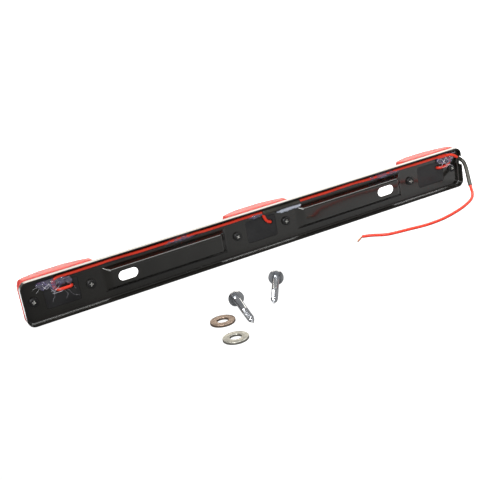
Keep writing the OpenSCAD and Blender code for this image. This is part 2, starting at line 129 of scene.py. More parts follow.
def apply_modifier(piece, kind, **settings):
    only(piece)
    modifier = piece.modifiers.new(kind.title(), kind)
    for key, value in settings.items():
        setattr(modifier, key, value)
    bpy.ops.object.modifier_apply(modifier=modifier.name)
    return piece


def join(pieces, name):
    only(pieces[0])
    for piece in pieces[1:]:
        piece.select_set(True)
    bpy.ops.object.join()
    bpy.context.object.name = name
    return bpy.context.object


def copy_of(piece, name):
    """A copy with a mesh of its own."""
    only(piece)
    bpy.ops.object.duplicate(linked=False)
    bpy.context.object.name = name
    return bpy.context.object


def shade(piece, angle=32):
    only(piece)
    bpy.ops.object.shade_smooth_by_angle(angle=math.radians(angle))
    return piece


def part_of_bar(piece, name, material, nodes=(), body="bar"):
    """Names a finished piece, gives it its finish, sets it under its body and hides the CAD nodes it
    stands for.
    """
    settle(piece)
    piece.name = name
    piece.data.name = name
    if material is not None:
        piece.data.materials.clear()
        piece.data.materials.append(material)
    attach(piece, body)
    if nodes:
        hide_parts(*nodes)
    count = len(piece.data.polygons) if piece.type == "MESH" else 0
    print(name, "faces", count)
    return piece

# %% [markdown]
# ## Lines for wires
# A wire follows a line of points. The lead's points are on one smooth curve, as limp
# wire lies. The clipped wires are straight runs and bends of a known radius.

# %% Lines
def smooth_line(name, points, radius, sides=4):
    """A round bar on one smooth curve through the points, as a curve of one open spline."""
    start_fresh()
    bpy.ops.curve.primitive_bezier_curve_add(location=(0, 0, 0))
    line = bpy.context.object
    line.name = name
    line.data.splines.clear()
    spline = line.data.splines.new("BEZIER")
    spline.bezier_points.add(len(points) - 1)
    for i, p in enumerate(points):
        before = points[max(i - 1, 0)]
        after = points[min(i + 1, len(points) - 1)]
        knot = spline.bezier_points[i]
        knot.handle_left_type = knot.handle_right_type = "FREE"
        knot.co = p
        knot.handle_left = p - (after - before) / 6
        knot.handle_right = p + (after - before) / 6
    line.data.dimensions = "3D"
    line.data.resolution_u = 8
    line.data.bevel_depth = radius
    line.data.bevel_resolution = sides
    line.data.use_fill_caps = True
    return line


def to_mesh(line):
    only(line)
    bpy.ops.object.convert(target="MESH")
    return bpy.context.object


def bend(centre, start, end, radius, plane="xz", steps=10):
    """Points on an arc, with angles in degrees counted from +X towards the plane's other axis."""
    out = []
    for k in range(steps + 1):
        a = math.radians(start + (end - start) * k / steps)
        u, v = radius * math.cos(a), radius * math.sin(a)
        out.append(centre + (Vector((u, 0, v)) if plane == "xz" else Vector((u, v, 0))))
    return out

# %% [markdown]
# ## Shared effects
# Painted steel, moulded plastic, zinc and card all need slow drifts of tone, a fine
# grain and fine scratches. Each effect is one node group, built once and given its own
# values in each material, so a change of character is a change of a few numbers.

# %% Node groups
def new_group(name, inputs, outputs):
    group = bpy.data.node_groups.new(name, "ShaderNodeTree")
    for label, kind, value in inputs:
        socket = group.interface.new_socket(name=label, in_out="INPUT", socket_type=kind)
        socket.default_value = value
    for label, kind in outputs:
        group.interface.new_socket(name=label, in_out="OUTPUT", socket_type=kind)
    inside = group.nodes.new("NodeGroupInput")
    outside = group.nodes.new("NodeGroupOutput")
    place = group.nodes.new("ShaderNodeTexCoord")
    return group, inside, outside, place


def make_drift():
    """Slow, cloudy change between two colours."""
    group, inside, outside, place = new_group(
        "Tone drift",
        [("Colour A", "NodeSocketColor", (0.5, 0.5, 0.5, 1)),
         ("Colour B", "NodeSocketColor", (0.6, 0.6, 0.6, 1)),
         ("Scale", "NodeSocketFloat", 40.0)],
        [("Colour", "NodeSocketColor"), ("Mask", "NodeSocketFloat")])
    noise = group.nodes.new("ShaderNodeTexNoise")
    noise.inputs["Detail"].default_value = 4
    ramp = group.nodes.new("ShaderNodeMapRange")
    ramp.inputs["From Min"].default_value = 0.35
    ramp.inputs["From Max"].default_value = 0.65
    mix = group.nodes.new("ShaderNodeMix")
    mix.data_type = "RGBA"
    link = group.links.new
    link(place.outputs["Object"], noise.inputs["Vector"])
    link(inside.outputs["Scale"], noise.inputs["Scale"])
    link(noise.outputs["Fac"], ramp.inputs["Value"])
    link(ramp.outputs["Result"], mix.inputs["Factor"])
    link(inside.outputs["Colour A"], mix.inputs["A"])
    link(inside.outputs["Colour B"], mix.inputs["B"])
    link(mix.outputs["Result"], outside.inputs["Colour"])
    link(ramp.outputs["Result"], outside.inputs["Mask"])
    return group


def make_grain():
    """Fine bumps, for paint with a slight orange peel or for moulded plastic."""
    group, inside, outside, place = new_group(
        "Fine grain",
        [("Scale", "NodeSocketFloat", 900.0), ("Depth", "NodeSocketFloat", 1.0)],
        [("Height", "NodeSocketFloat")])
    noise = group.nodes.new("ShaderNodeTexNoise")
    noise.inputs["Detail"].default_value = 3
    product = group.nodes.new("ShaderNodeMath")
    product.operation = "MULTIPLY"
    link = group.links.new
    link(place.outputs["Object"], noise.inputs["Vector"])
    link(inside.outputs["Scale"], noise.inputs["Scale"])
    link(noise.outputs["Fac"], product.inputs[0])
    link(inside.outputs["Depth"], product.inputs[1])
    link(product.outputs["Value"], outside.inputs["Height"])
    return group


def make_scratches():
    """Thin marks along two directions, as a mask from 0 to 1."""
    group, inside, outside, place = new_group(
        "Scratches",
        [("Scale", "NodeSocketFloat", 60.0), ("Share", "NodeSocketFloat", 0.08)],
        [("Mask", "NodeSocketFloat")])
    link = group.links.new
    marks = []
    for turn_deg, stretch in ((25, (1.0, 9.0, 1.0)), (-50, (8.0, 1.0, 9.0))):
        mapping = group.nodes.new("ShaderNodeMapping")
        mapping.inputs["Rotation"].default_value = (0.3, math.radians(turn_deg), 0.2)
        mapping.inputs["Scale"].default_value = stretch
        noise = group.nodes.new("ShaderNodeTexNoise")
        noise.inputs["Detail"].default_value = 2
        edge = group.nodes.new("ShaderNodeMath")
        edge.operation = "SUBTRACT"
        edge.inputs[1].default_value = 0.5
        size = group.nodes.new("ShaderNodeMath")
        size.operation = "ABSOLUTE"
        thin = group.nodes.new("ShaderNodeMapRange")
        thin.inputs["To Min"].default_value = 1
        thin.inputs["To Max"].default_value = 0
        narrow = group.nodes.new("ShaderNodeMath")
        narrow.operation = "MULTIPLY"
        narrow.inputs[1].default_value = 0.12
        link(place.outputs["Object"], mapping.inputs["Vector"])
        link(mapping.outputs["Vector"], noise.inputs["Vector"])
        link(inside.outputs["Scale"], noise.inputs["Scale"])
        link(noise.outputs["Fac"], edge.inputs[0])
        link(edge.outputs["Value"], size.inputs[0])
        link(size.outputs["Value"], thin.inputs["Value"])
        link(inside.outputs["Share"], narrow.inputs[0])
        link(narrow.outputs["Value"], thin.inputs["From Max"])
        marks.append(thin)
    both = group.nodes.new("ShaderNodeMath")
    both.operation = "MAXIMUM"
    link(marks[0].outputs["Result"], both.inputs[0])
    link(marks[1].outputs["Result"], both.inputs[1])
    link(both.outputs["Value"], outside.inputs["Mask"])
    return group


DRIFT = make_drift()
GRAIN = make_grain()
SCRATCHES = make_scratches()
print("node groups", [g.name for g in (DRIFT, GRAIN, SCRATCHES)])

# %% [markdown]
# ## Finishes
# Most finishes differ only in two tones, a roughness range, a grain and whether they
# are metal or have a clear coat. One function wires those up. What is special to one
# finish, such as light that passes through it, is set on its own shader afterwards.

# %% One function for a finish
def finish(name, tone_a, tone_b, rough=(0.3, 0.45), metal=0.0, drift=60.0,
           grain=900.0, bump=0.1, depth=0.05, scratch=0.0):
    """depth is the height of the grain in millimetres and bump its strength."""
    material = bpy.data.materials.new(name)
    material.use_nodes = True
    nodes, link = material.node_tree.nodes, material.node_tree.links.new
    shader = nodes["Principled BSDF"]
    shader.inputs["Metallic"].default_value = metal
    tone = nodes.new("ShaderNodeGroup")
    tone.node_tree = DRIFT
    tone.inputs["Colour A"].default_value = (*tone_a, 1)
    tone.inputs["Colour B"].default_value = (*tone_b, 1)
    tone.inputs["Scale"].default_value = drift
    polish = nodes.new("ShaderNodeMapRange")
    polish.inputs["To Min"].default_value = rough[0]
    polish.inputs["To Max"].default_value = rough[1]
    link(tone.outputs["Mask"], polish.inputs["Value"])
    link(polish.outputs["Result"], shader.inputs["Roughness"])
    colour = tone.outputs["Colour"]
    if scratch:
        marks = nodes.new("ShaderNodeGroup")
        marks.node_tree = SCRATCHES
        marks.inputs["Share"].default_value = scratch
        lighter = nodes.new("ShaderNodeMix")
        lighter.data_type = "RGBA"
        lighter.blend_type = "SCREEN"
        lighter.inputs["B"].default_value = (0.09, 0.09, 0.09, 1)
        link(marks.outputs["Mask"], lighter.inputs["Factor"])
        link(colour, lighter.inputs["A"])
        colour = lighter.outputs["Result"]
    link(colour, shader.inputs["Base Color"])
    peel = nodes.new("ShaderNodeGroup")
    peel.node_tree = GRAIN
    peel.inputs["Scale"].default_value = grain
    raise_up = nodes.new("ShaderNodeBump")
    raise_up.inputs["Strength"].default_value = bump
    raise_up.inputs["Distance"].default_value = depth * MM
    link(peel.outputs["Height"], raise_up.inputs["Height"])
    link(raise_up.outputs["Normal"], shader.inputs["Normal"])
    return material


def shader_of(material):
    return material.node_tree.nodes["Principled BSDF"]

# %% The finishes
black_paint = finish("black_paint", (0.0058, 0.0054, 0.0040), (0.0095, 0.0090, 0.0070),
                     rough=(0.15, 0.24), grain=700, bump=0.05, depth=0.04)
shader_of(black_paint).inputs["Coat Weight"].default_value = 0.9
shader_of(black_paint).inputs["Coat Roughness"].default_value = 0.09

black_plastic = finish("black_plastic", (0.012, 0.012, 0.013), (0.02, 0.02, 0.021),
                       rough=(0.32, 0.46), grain=1500, bump=0.25, depth=0.03)
grey_sleeve = finish("grey_sleeve", (0.022, 0.021, 0.015), (0.042, 0.040, 0.030),
                     rough=(0.4, 0.55), grain=500, bump=0.3, depth=0.05)

red_wire = finish("red_wire", (0.76, 0.040, 0.018), (0.84, 0.055, 0.026),
                  rough=(0.36, 0.48), grain=1200, bump=0.08, depth=0.02)
shader_of(red_wire).inputs["Specular IOR Level"].default_value = 0.35
shader_of(red_wire).inputs["Subsurface Weight"].default_value = 0.08
shader_of(red_wire).inputs["Subsurface Scale"].default_value = 0.5 * MM

red_lens = finish("red_lens", (0.86, 0.06, 0.04), (0.90, 0.075, 0.05),
                  rough=(0.3, 0.36), grain=500, bump=0.05, depth=0.02)
shader_of(red_lens).inputs["Transmission Weight"].default_value = 0.78
shader_of(red_lens).inputs["IOR"].default_value = 1.49

copper = finish("copper", (0.80, 0.40, 0.24), (0.70, 0.32, 0.18), metal=1.0,
                rough=(0.25, 0.4), grain=900, bump=0.1, depth=0.02)
zinc = finish("zinc", (0.52, 0.54, 0.57), (0.64, 0.65, 0.67), metal=1.0,
              rough=(0.12, 0.24), grain=700, bump=0.2, depth=0.03, scratch=0.06)
yellow_zinc = finish("yellow_zinc", (0.36, 0.27, 0.21), (0.28, 0.20, 0.15), metal=1.0,
                     rough=(0.28, 0.45), drift=160, grain=700, bump=0.3, depth=0.04, scratch=0.07)
dull_zinc = finish("dull_zinc", (0.42, 0.41, 0.36), (0.33, 0.32, 0.28), metal=1.0,
                   rough=(0.3, 0.46), drift=200, grain=700, bump=0.3, depth=0.04, scratch=0.07)
black_screw = finish("black_screw", (0.02, 0.02, 0.021), (0.03, 0.03, 0.03), metal=0.5,
                     rough=(0.25, 0.4), grain=900, bump=0.15, depth=0.02)
# Bright metal for the cross recess of the black screws: a painted highlight for the light the recess
# catches.
recess_painted_highlight = finish("recess_painted_highlight", (0.88, 0.88, 0.86), (0.70, 0.70, 0.68), metal=1.0,
                       rough=(0.3, 0.42), grain=900, bump=0.2, depth=0.03)
tinned = finish("tinned_metal", (0.72, 0.71, 0.67), (0.62, 0.61, 0.57), metal=1.0,
                rough=(0.25, 0.4), grain=800, bump=0.15, depth=0.02)
board = finish("board", (0.02, 0.14, 0.07), (0.03, 0.17, 0.08),
               rough=(0.3, 0.4), grain=900, bump=0.2, depth=0.03)
led_body = finish("led_body", (0.82, 0.80, 0.74), (0.9, 0.88, 0.82),
                  rough=(0.2, 0.3), grain=900, bump=0.05, depth=0.02)
resistor_body = finish("resistor_body", (0.62, 0.48, 0.28), (0.68, 0.54, 0.33),
                       rough=(0.35, 0.5), grain=900, bump=0.15, depth=0.03)
diode_body = finish("diode_body", (0.015, 0.015, 0.015), (0.025, 0.025, 0.025),
                    rough=(0.3, 0.4), grain=900, bump=0.15, depth=0.02)

hot_glue = finish("hot_glue", (0.46, 0.42, 0.80), (0.86, 0.82, 0.95),
                  rough=(0.03, 0.10), drift=500, grain=1100, bump=0.8, depth=0.35)
shader_of(hot_glue).inputs["Transmission Weight"].default_value = 0.85
shader_of(hot_glue).inputs["IOR"].default_value = 1.48
milky_glue = finish("milky_glue", (0.62, 0.68, 0.80), (0.74, 0.78, 0.88),
                    rough=(0.12, 0.2), drift=300, grain=350, bump=0.25, depth=0.1)
shader_of(milky_glue).inputs["Transmission Weight"].default_value = 0.35
shader_of(milky_glue).inputs["IOR"].default_value = 1.48
glue_string = finish("glue_string", (0.72, 0.70, 0.80), (0.95, 0.94, 0.97),
                     rough=(0.1, 0.2), drift=900, grain=900, bump=0.3, depth=0.1)
shader_of(glue_string).inputs["Transmission Weight"].default_value = 0.3
print("finishes", len(bpy.data.materials))

# %% [markdown]
# ## Supply lead
# The lead is 18-gauge hook-up wire, 2.2 mm over its insulation and limp. It leaves the
# joint at the right end, drops through the notch to the surface and lies in one loose
# curve. It is one curve through the same points that the frame's solid follows.

# %% Supply lead
WIRE_D = 2.2 * MM
LEAD_ROUTE = [Vector((x, y, h)) * MM + Vector((0, 0, SURFACE)) for x, y, h in [
    (166.4, 1.25, 28), (170.5, 1.25, 27.7), (174, 1.3, 26), (177, 1.4, 23.9),
    (179.7, 1.1, 21.6), (181.1, -1.2, 18.8), (180.5, -4.2, 14.4), (178.8, -7.6, 10.2),
    (177, -10.8, 6.6), (175.2, -14.2, 3.6), (172.9, -18, 1.7), (169.8, -22.8, 1.1),
    (161, -32.7, 1.1), (150, -40.5, 1.1), (135.5, -47.3, 1.1), (118, -52.5, 1.1),
    (103, -53.2, 1.1), (90, -50.6, 1.1), (77, -47.8, 1.1), (71, -45, 1.1),
    (65, -39, 1.1), (59, -35.2, 1.1)]]
lead = smooth_line("supply_lead", LEAD_ROUTE, WIRE_D / 2, sides=5)
lead.data.materials.append(red_wire)
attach(lead, "bar")
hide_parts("lead")
straight = sum((b - a).length for a, b in zip(LEAD_ROUTE, LEAD_ROUTE[1:]))
print("lead, point to point", round(straight / MM, 1), "mm")

# %% [markdown]
# ## The tray
# The real tray is one sheet of 0.9 mm steel, pressed so that its wall, its two raised
# pads and all its bends are the same thickness. So it is modelled as a surface first:
# a flat floor, walls and pads pulled up from it, and every bend rounded by one bevel.
# A Solidify modifier then gives it its thickness, as the sheet has, and the windows and
# holes are punched through last.

# %% Tray sizes, taken from the frame
tray_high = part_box("tray")[1]
SHEET = 0.9 * MM
HALF_LEN = tray_high.x - SHEET
HALF_H = tray_high.z - SHEET
FLOOR_Y = tray_high.y - SHEET
CORNER = 4.6 * MM
PAD_X = 76.2 * MM
PAD_FACE = (84 * MM, 12.2 * MM)
PAD_FOOT = (93.2 * MM, 17.0 * MM)
LAMP_X = 152.4 * MM
LAMPS = {"left": -LAMP_X, "centre": 0.0, "right": LAMP_X}
SCREW_X = 20.2 * MM
print("tray inside", [round(2 * v / MM, 2) for v in (HALF_LEN, HALF_H)], "floor", round(FLOOR_Y / MM, 2))

# %% Press the tray
SAME = 0.02 * MM
LEAST_FOLD = math.radians(20)
FOLD_R = 1.1 * MM


def near(a, b):
    return abs(a - b) < SAME


def is_fold(edge):
    return len(edge.link_faces) == 2 and edge.calc_face_angle() > LEAST_FOLD


start_fresh()
bpy.ops.mesh.primitive_plane_add(size=1, location=(0, FLOOR_Y, 0), rotation=(math.pi / 2, 0, 0))
tray = bpy.context.object
tray.scale = (2 * HALF_LEN, 2 * HALF_H, 1)
settle(tray)
edit()
for x in (-PAD_X - PAD_FOOT[0] / 2, -PAD_X + PAD_FOOT[0] / 2,
          PAD_X - PAD_FOOT[0] / 2, PAD_X + PAD_FOOT[0] / 2):
    bpy.ops.mesh.select_all(action="SELECT")
    bpy.ops.mesh.bisect(plane_co=(x, 0, 0), plane_no=(1, 0, 0))
for z in (-PAD_FOOT[1] / 2, PAD_FOOT[1] / 2):
    bpy.ops.mesh.select_all(action="SELECT")
    bpy.ops.mesh.bisect(plane_co=(0, 0, z), plane_no=(0, 0, 1))
for side in (-1, 1):
    pick("FACE", lambda f: abs(f.calc_center_median().x - side * PAD_X) < 5 * MM
         and abs(f.calc_center_median().z) < 1 * MM and near(f.calc_center_median().y, FLOOR_Y))
    bpy.ops.mesh.extrude_region_move(TRANSFORM_OT_translate={"value": (0, -FLOOR_Y, 0)})
    bpy.ops.transform.resize(value=(PAD_FACE[0] / PAD_FOOT[0], 1, PAD_FACE[1] / PAD_FOOT[1]),
                             center_override=(side * PAD_X, 0, 0))
pick("EDGE", lambda e: e.is_boundary)
bpy.ops.mesh.extrude_region_move(TRANSFORM_OT_translate={"value": (0, -FLOOR_Y, 0)})
pick("EDGE", lambda e: near(abs(middle(e).x), HALF_LEN) and near(abs(middle(e).z), HALF_H))
bpy.ops.mesh.bevel(offset=CORNER, segments=8, affect="EDGES")
pick("EDGE", is_fold)
bpy.ops.mesh.bevel(offset=FOLD_R, segments=5, affect="EDGES")
leave_edit()
apply_modifier(tray, "SOLIDIFY", thickness=SHEET, offset=-1, use_even_offset=True,
               use_quality_normals=True)
print("pressed tray", [round(v / MM, 2) for v in tray.dimensions], "faces", len(tray.data.polygons))

# %% [markdown]
# ### Windows, slots and holes
# Each hole is punched by a solid of its own shape. The punches are made in place,
# joined, and taken away from the sheet with one Boolean, then every cut edge is eased a
# little, because paint never sits on a perfectly sharp edge.

# %% Punch the tray
def rounded_punch(x, z, w, h, radius, depth=(-6, 9), segments=6):
    """A block with rounded corners, w by h, that runs through the sheet along Y."""
    start_fresh()
    bpy.ops.mesh.primitive_cube_add(size=1, location=(x, (depth[0] + depth[1]) / 2 * MM, z))
    punch = bpy.context.object
    punch.scale = (w, (depth[1] - depth[0]) * MM, h)
    settle(punch)
    edit()
    pick("EDGE", lambda e: abs(e.verts[0].co.y - e.verts[1].co.y) > MM)
    bpy.ops.mesh.bevel(offset=radius, segments=segments, affect="EDGES")
    leave_edit()
    return punch


def round_punch(x, z, d, depth=(-6, 9)):
    start_fresh()
    bpy.ops.mesh.primitive_cylinder_add(
        vertices=32, radius=d / 2, depth=(depth[1] - depth[0]) * MM,
        location=(x, (depth[0] + depth[1]) / 2 * MM, z), rotation=(math.pi / 2, 0, 0))
    return settle(bpy.context.object)


SLOT_X = 106.35 * MM
SLOT_LEN, SLOT_W = 14.2 * MM, 7 * MM
WINDOW = (24.3 * MM, 16.3 * MM)
WINDOW_R = 1.65 * MM
SCREW_HOLE_D = 3.2 * MM
NOTCH_Z = 5 * MM
NOTCH_SIZE = (4 * MM, 6.4 * MM, 6.6 * MM)
punches = [rounded_punch(s * SLOT_X, 0, SLOT_LEN, SLOT_W, SLOT_W / 2 - 0.005 * MM, (-3, 3), 10)
           for s in (-1, 1)]
for x in LAMPS.values():
    punches.append(rounded_punch(x, 0, *WINDOW, WINDOW_R))
    punches += [round_punch(x + s * SCREW_X, 0, SCREW_HOLE_D) for s in (-1, 1)]
start_fresh()
bpy.ops.mesh.primitive_cube_add(size=1, location=(HALF_LEN, 0.2 * MM, NOTCH_Z))
notch = bpy.context.object
notch.scale = NOTCH_SIZE
settle(notch)
edit()
pick("EDGE", lambda e: abs(e.verts[0].co.x - e.verts[1].co.x) > MM and middle(e).y > 0)
bpy.ops.mesh.bevel(offset=1 * MM, segments=5, affect="EDGES")
leave_edit()
punch = join(punches + [notch], "punch")
apply_modifier(tray, "BOOLEAN", object=punch, operation="DIFFERENCE", solver="EXACT")
bpy.data.objects.remove(punch)
apply_modifier(tray, "BEVEL", width=0.14 * MM, segments=2, limit_method="ANGLE",
               angle_limit=math.radians(50), use_clamp_overlap=False)
shade(tray, 35)
apply_modifier(tray, "WEIGHTED_NORMAL", weight=60, keep_sharp=True)
part_of_bar(tray, "tray_pressed", black_paint, ["tray"])

# %% [markdown]
# ## Lenses
# Each lens is an arch of red plastic on a short upright edge, with its long sides
# leaning in to the crown. The arch is turned, not drawn: a block with rounded corners is
# cut back by a cylinder and by a leaning prism. The inside is the same shape 2 mm in,
# but its arch is fluted, because an optic breaks up the light of the diodes behind it.

# %% Lens body
LENS_BACK = tray_high.y
LENS_RISE = 19.8 * MM
LENS_EDGE = 4 * MM
LENS_LEN = 55.6 * MM
LENS_WALL = 2 * MM
LENS_CORNER = 5.5 * MM
LENS_SOFT = 0.7 * MM
CROWN_R = 2 * MM
FLUTE_DEPTH = 0.5 * MM
LEAN = 3 * MM
TOWER_D = 6 * MM
TOWER_LEN = 20 * MM
TOWER_FOOT_Y = 8.1 * MM
PILOT_D = 3.0 * MM
PILOT_RUN = (4, 15.7)


def lens_block(inset, below, flutes):
    """The outer body of a lens, or its cavity when inset is the wall."""
    half, top = LENS_LEN / 2, LENS_BACK + LENS_RISE
    sag = LENS_RISE - LENS_EDGE
    radius = (half * half + sag * sag) / (2 * sag)
    back = LENS_BACK - below
    block = rounded_punch(0, 0, LENS_LEN - 2 * inset, 2 * (tray_high.z - inset),
                          LENS_CORNER - inset, (back / MM, top / MM + 2), 8)
    start_fresh()
    count = 360 if flutes else 192
    bpy.ops.mesh.primitive_cylinder_add(vertices=count, radius=radius - inset, depth=40 * MM,
                                        location=(0, top - radius, 0))
    arch = settle(bpy.context.object)
    if flutes:
        edit()
        centre = Vector((0, top - radius, 0))
        step = 2 * math.pi / count

        def valley(v):
            a = math.atan2(v.co.y - centre.y, v.co.x)
            return round(a / step) % 4 == 0

        pick("VERT", valley)
        share = (radius - inset + FLUTE_DEPTH) / (radius - inset)
        bpy.ops.transform.resize(value=(share, share, 1), center_override=centre)
        leave_edit()
    start_fresh()
    z = tray_high.z - inset
    low, shoulder = LENS_EDGE + LENS_BACK, top - inset
    bpy.ops.mesh.primitive_cube_add(size=1, location=(0, (back + shoulder) / 2, 0))
    prism = bpy.context.object
    prism.scale = (70 * MM, shoulder - back, 2 * z)
    settle(prism)
    edit()
    bpy.ops.mesh.select_all(action="SELECT")
    bpy.ops.mesh.bisect(plane_co=(0, low, 0), plane_no=(0, 1, 0))
    pick("FACE", lambda f: near(f.calc_center_median().y, shoulder))
    bpy.ops.transform.resize(value=(1, 1, (z - LEAN) / z), center_override=(0, shoulder, 0))
    pick("EDGE", lambda e: near(middle(e).y, shoulder) and abs(e.verts[0].co.x - e.verts[1].co.x) > MM)
    bpy.ops.mesh.bevel(offset=CROWN_R, segments=4, affect="EDGES")
    leave_edit()
    for tool in (arch, prism):
        apply_modifier(block, "BOOLEAN", object=tool, operation="INTERSECT", solver="EXACT")
        bpy.data.objects.remove(tool)
    return block


outer = lens_block(0, 0, False)
apply_modifier(outer, "BEVEL", width=LENS_SOFT, segments=3, limit_method="ANGLE",
               angle_limit=math.radians(28), use_clamp_overlap=False)
inner = lens_block(LENS_WALL, 1 * MM, True)
towers = []
for side in (-1, 1):
    start_fresh()
    bpy.ops.mesh.primitive_cylinder_add(
        vertices=32, radius=TOWER_D / 2, depth=TOWER_LEN,
        location=(side * SCREW_X, TOWER_FOOT_Y + TOWER_LEN / 2, 0), rotation=(math.pi / 2, 0, 0))
    towers.append(settle(bpy.context.object))
tower = join(towers, "tower")
apply_modifier(inner, "BOOLEAN", object=tower, operation="DIFFERENCE", solver="EXACT")
bpy.data.objects.remove(tower)
apply_modifier(outer, "BOOLEAN", object=inner, operation="DIFFERENCE", solver="EXACT")
bpy.data.objects.remove(inner)
holes = join([round_punch(s * SCREW_X, 0, PILOT_D, PILOT_RUN) for s in (-1, 1)], "holes")
apply_modifier(outer, "BOOLEAN", object=holes, operation="DIFFERENCE", solver="EXACT")
bpy.data.objects.remove(holes)
shade(outer, 30)
print("lens", [round(v / MM, 2) for v in outer.dimensions])
lenses = [outer, copy_of(outer, "lens_b"), copy_of(outer, "lens_c")]
for lens, (side, x) in zip(lenses, LAMPS.items()):
    only(lens)
    lens.location.x = x
    part_of_bar(lens, f"lens_{side}_clear", red_lens, [f"lens_{side}"])

# %% [markdown]
# ## Small CAD parts, eased
# The lamp bases, boards and contacts have the right shape already, but their edges are
# perfectly sharp and so catch no light. Each is copied, its triangles are merged back
# into flat faces and its edges are eased with a small bevel.

# %% Ease the edges of a CAD part
def eased(node, name, material, width, body="bar", segments=2):
    """A copy of the CAD node with its edges bevelled by width."""
    start_fresh()
    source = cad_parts[node]
    piece = bpy.data.objects.new(name, source.data.copy())
    bpy.context.scene.collection.objects.link(piece)
    only(piece)
    edit()
    bpy.ops.mesh.select_all(action="SELECT")
    bpy.ops.mesh.remove_doubles(threshold=0.002 * MM)
    bpy.ops.mesh.dissolve_limited(angle_limit=math.radians(0.6))
    leave_edit()
    apply_modifier(piece, "BEVEL", width=width, segments=segments, limit_method="ANGLE",
                   angle_limit=math.radians(40), use_clamp_overlap=True)
    shade(piece, 35)
    return part_of_bar(piece, name, material, [node], body)


for side in LAMPS:
    eased(f"lamp_base_{side}", f"base_{side}", black_plastic, 0.25 * MM)
    eased(f"circuit_board_{side}", f"board_{side}", board, 0.12 * MM)
    eased(f"earth_contact_{side}", f"contact_{side}", tinned, 0.08 * MM)
    eased(f"leds_{side}", f"diodes_{side}", led_body, 0.15 * MM)
    eased(f"resistor_{side}", f"resistor_body_{side}", resistor_body, 0.4 * MM)
    eased(f"diode_{side}", f"diode_body_{side}", diode_body, 0.25 * MM)
for letter, material, slot in (("a", yellow_zinc, "yellow_zinc"), ("b", dull_zinc, "zinc")):
    eased(f"washer_{letter}", f"flat_washer_{letter}", material, 0.28 * MM,
          f"washer_{letter}", segments=3)

# %% [markdown]
# ## Lamp screws
# Each lamp is held by two black self-tapping screws. The faces of the cross recess are
# given bright metal, a painted highlight for the light the recess catches. One screw is
# turned from a cylinder: the head's edge is rounded by a bevel, and the recess is pressed
# in by a tapered cross. The other five are copies.

# %% Cross recess
def cross_punch(size, width, depth, top):
    """A tapered cross along Z with its wide end at height top."""
    bars = []
    for turn_deg in (0, 90):
        start_fresh()
        bpy.ops.mesh.primitive_cube_add(size=1, location=(0, 0, top + 0.2 * depth),
                                        rotation=(0, 0, math.radians(turn_deg)))
        bar = bpy.context.object
        bar.scale = (size, width, 2.4 * depth)
        settle(bar)
        edit()
        pick("FACE", lambda f: f.normal.z < -0.9)
        bpy.ops.transform.resize(value=(0.45, 0.45, 1), center_override=(0, 0, 0))
        leave_edit()
        bars.append(bar)
    apply_modifier(bars[0], "BOOLEAN", object=bars[1], operation="UNION", solver="EXACT")
    bpy.data.objects.remove(bars[1])
    return bars[0]


CROWN_SHARE = 0.02


def screw_head(diameter, full_height, dome, recess):
    """A pan head on z = 0, domed towards +Z. recess is its cross's size, width and depth."""
    crown = CROWN_SHARE * diameter
    height = full_height - crown
    start_fresh()
    bpy.ops.mesh.primitive_cylinder_add(vertices=48, radius=diameter / 2, depth=height,
                                        location=(0, 0, height / 2))
    head = settle(bpy.context.object)
    edit()
    pick("EDGE", lambda e: len(e.link_faces) == 2 and middle(e).z > 0.9 * height
         and e.calc_face_angle() > 1)
    bpy.ops.mesh.bevel(offset=dome, segments=6, affect="EDGES")
    pick("FACE", lambda f: f.normal.z > 0.95)
    bpy.ops.mesh.inset(thickness=0.4 * (diameter / 2 - dome))
    bpy.ops.transform.translate(value=(0, 0, crown))
    leave_edit()
    size, width, depth = recess
    cross = cross_punch(size, width, depth, full_height)
    # The recess faces take the bright metal of the painted highlight.
    cross.data.materials.append(recess_painted_highlight)
    head.data.materials.append(black_screw)
    head.data.materials.append(recess_painted_highlight)
    apply_modifier(head, "BOOLEAN", object=cross, operation="DIFFERENCE", solver="EXACT",
                   material_mode="TRANSFER")
    bpy.data.objects.remove(cross)
    return head

# %% Lamp screws
HEAD_D = 6.4 * MM
HEAD_H = 2.0 * MM
SHANK_R = 1.45 * MM
SHANK_LEN = 9.5 * MM
SHANK_IN_HEAD = 0.05 * MM
head = screw_head(HEAD_D, HEAD_H, 1.1 * MM, (4.0 * MM, 1.2 * MM, 1.1 * MM))
start_fresh()
bpy.ops.mesh.primitive_cylinder_add(vertices=24, radius=SHANK_R, depth=SHANK_LEN,
                                    location=(0, 0, SHANK_IN_HEAD - SHANK_LEN / 2))
shank = settle(bpy.context.object)
edit()
for z in (-7.5, -8.2, -8.8):
    bpy.ops.mesh.select_all(action="SELECT")
    bpy.ops.mesh.bisect(plane_co=(0, 0, z * MM), plane_no=(0, 0, 1))
pick("VERT", lambda v: v.co.z < -9 * MM)
bpy.ops.transform.resize(value=(0.25, 0.25, 1), center_override=(0, 0, -9 * MM))
pick("VERT", lambda v: -9 * MM < v.co.z < -8.5 * MM)
bpy.ops.transform.resize(value=(0.6, 0.6, 1), center_override=(0, 0, -9 * MM))
leave_edit()
shank.data.materials.append(black_screw)
lamp_screw = join([head, shank], "lamp_screw")
shade(lamp_screw, 35)
rng = random.Random(4)
for side, x in LAMPS.items():
    pair = []
    for k, s in enumerate((-1, 1)):
        one = copy_of(lamp_screw, f"screw_{side}_{k}")
        one.rotation_euler = (math.pi / 2, rng.uniform(0, 1.5), 0)
        one.location = (x + s * SCREW_X, FLOOR_Y, 0)
        pair.append(settle(one))
    both = join(pair, f"screws_{side}")
    part_of_bar(both, f"screws_{side}", None, [f"lamp_screws_{side}"])
bpy.data.objects.remove(lamp_screw)

# %% [markdown]
# ## Clipped wires
# The run along the top is straight but not perfectly so: it rises and falls a little
# between the beads of glue that hold it. At each lamp it turns back on itself and dives
# through the lamp's hole to the board.

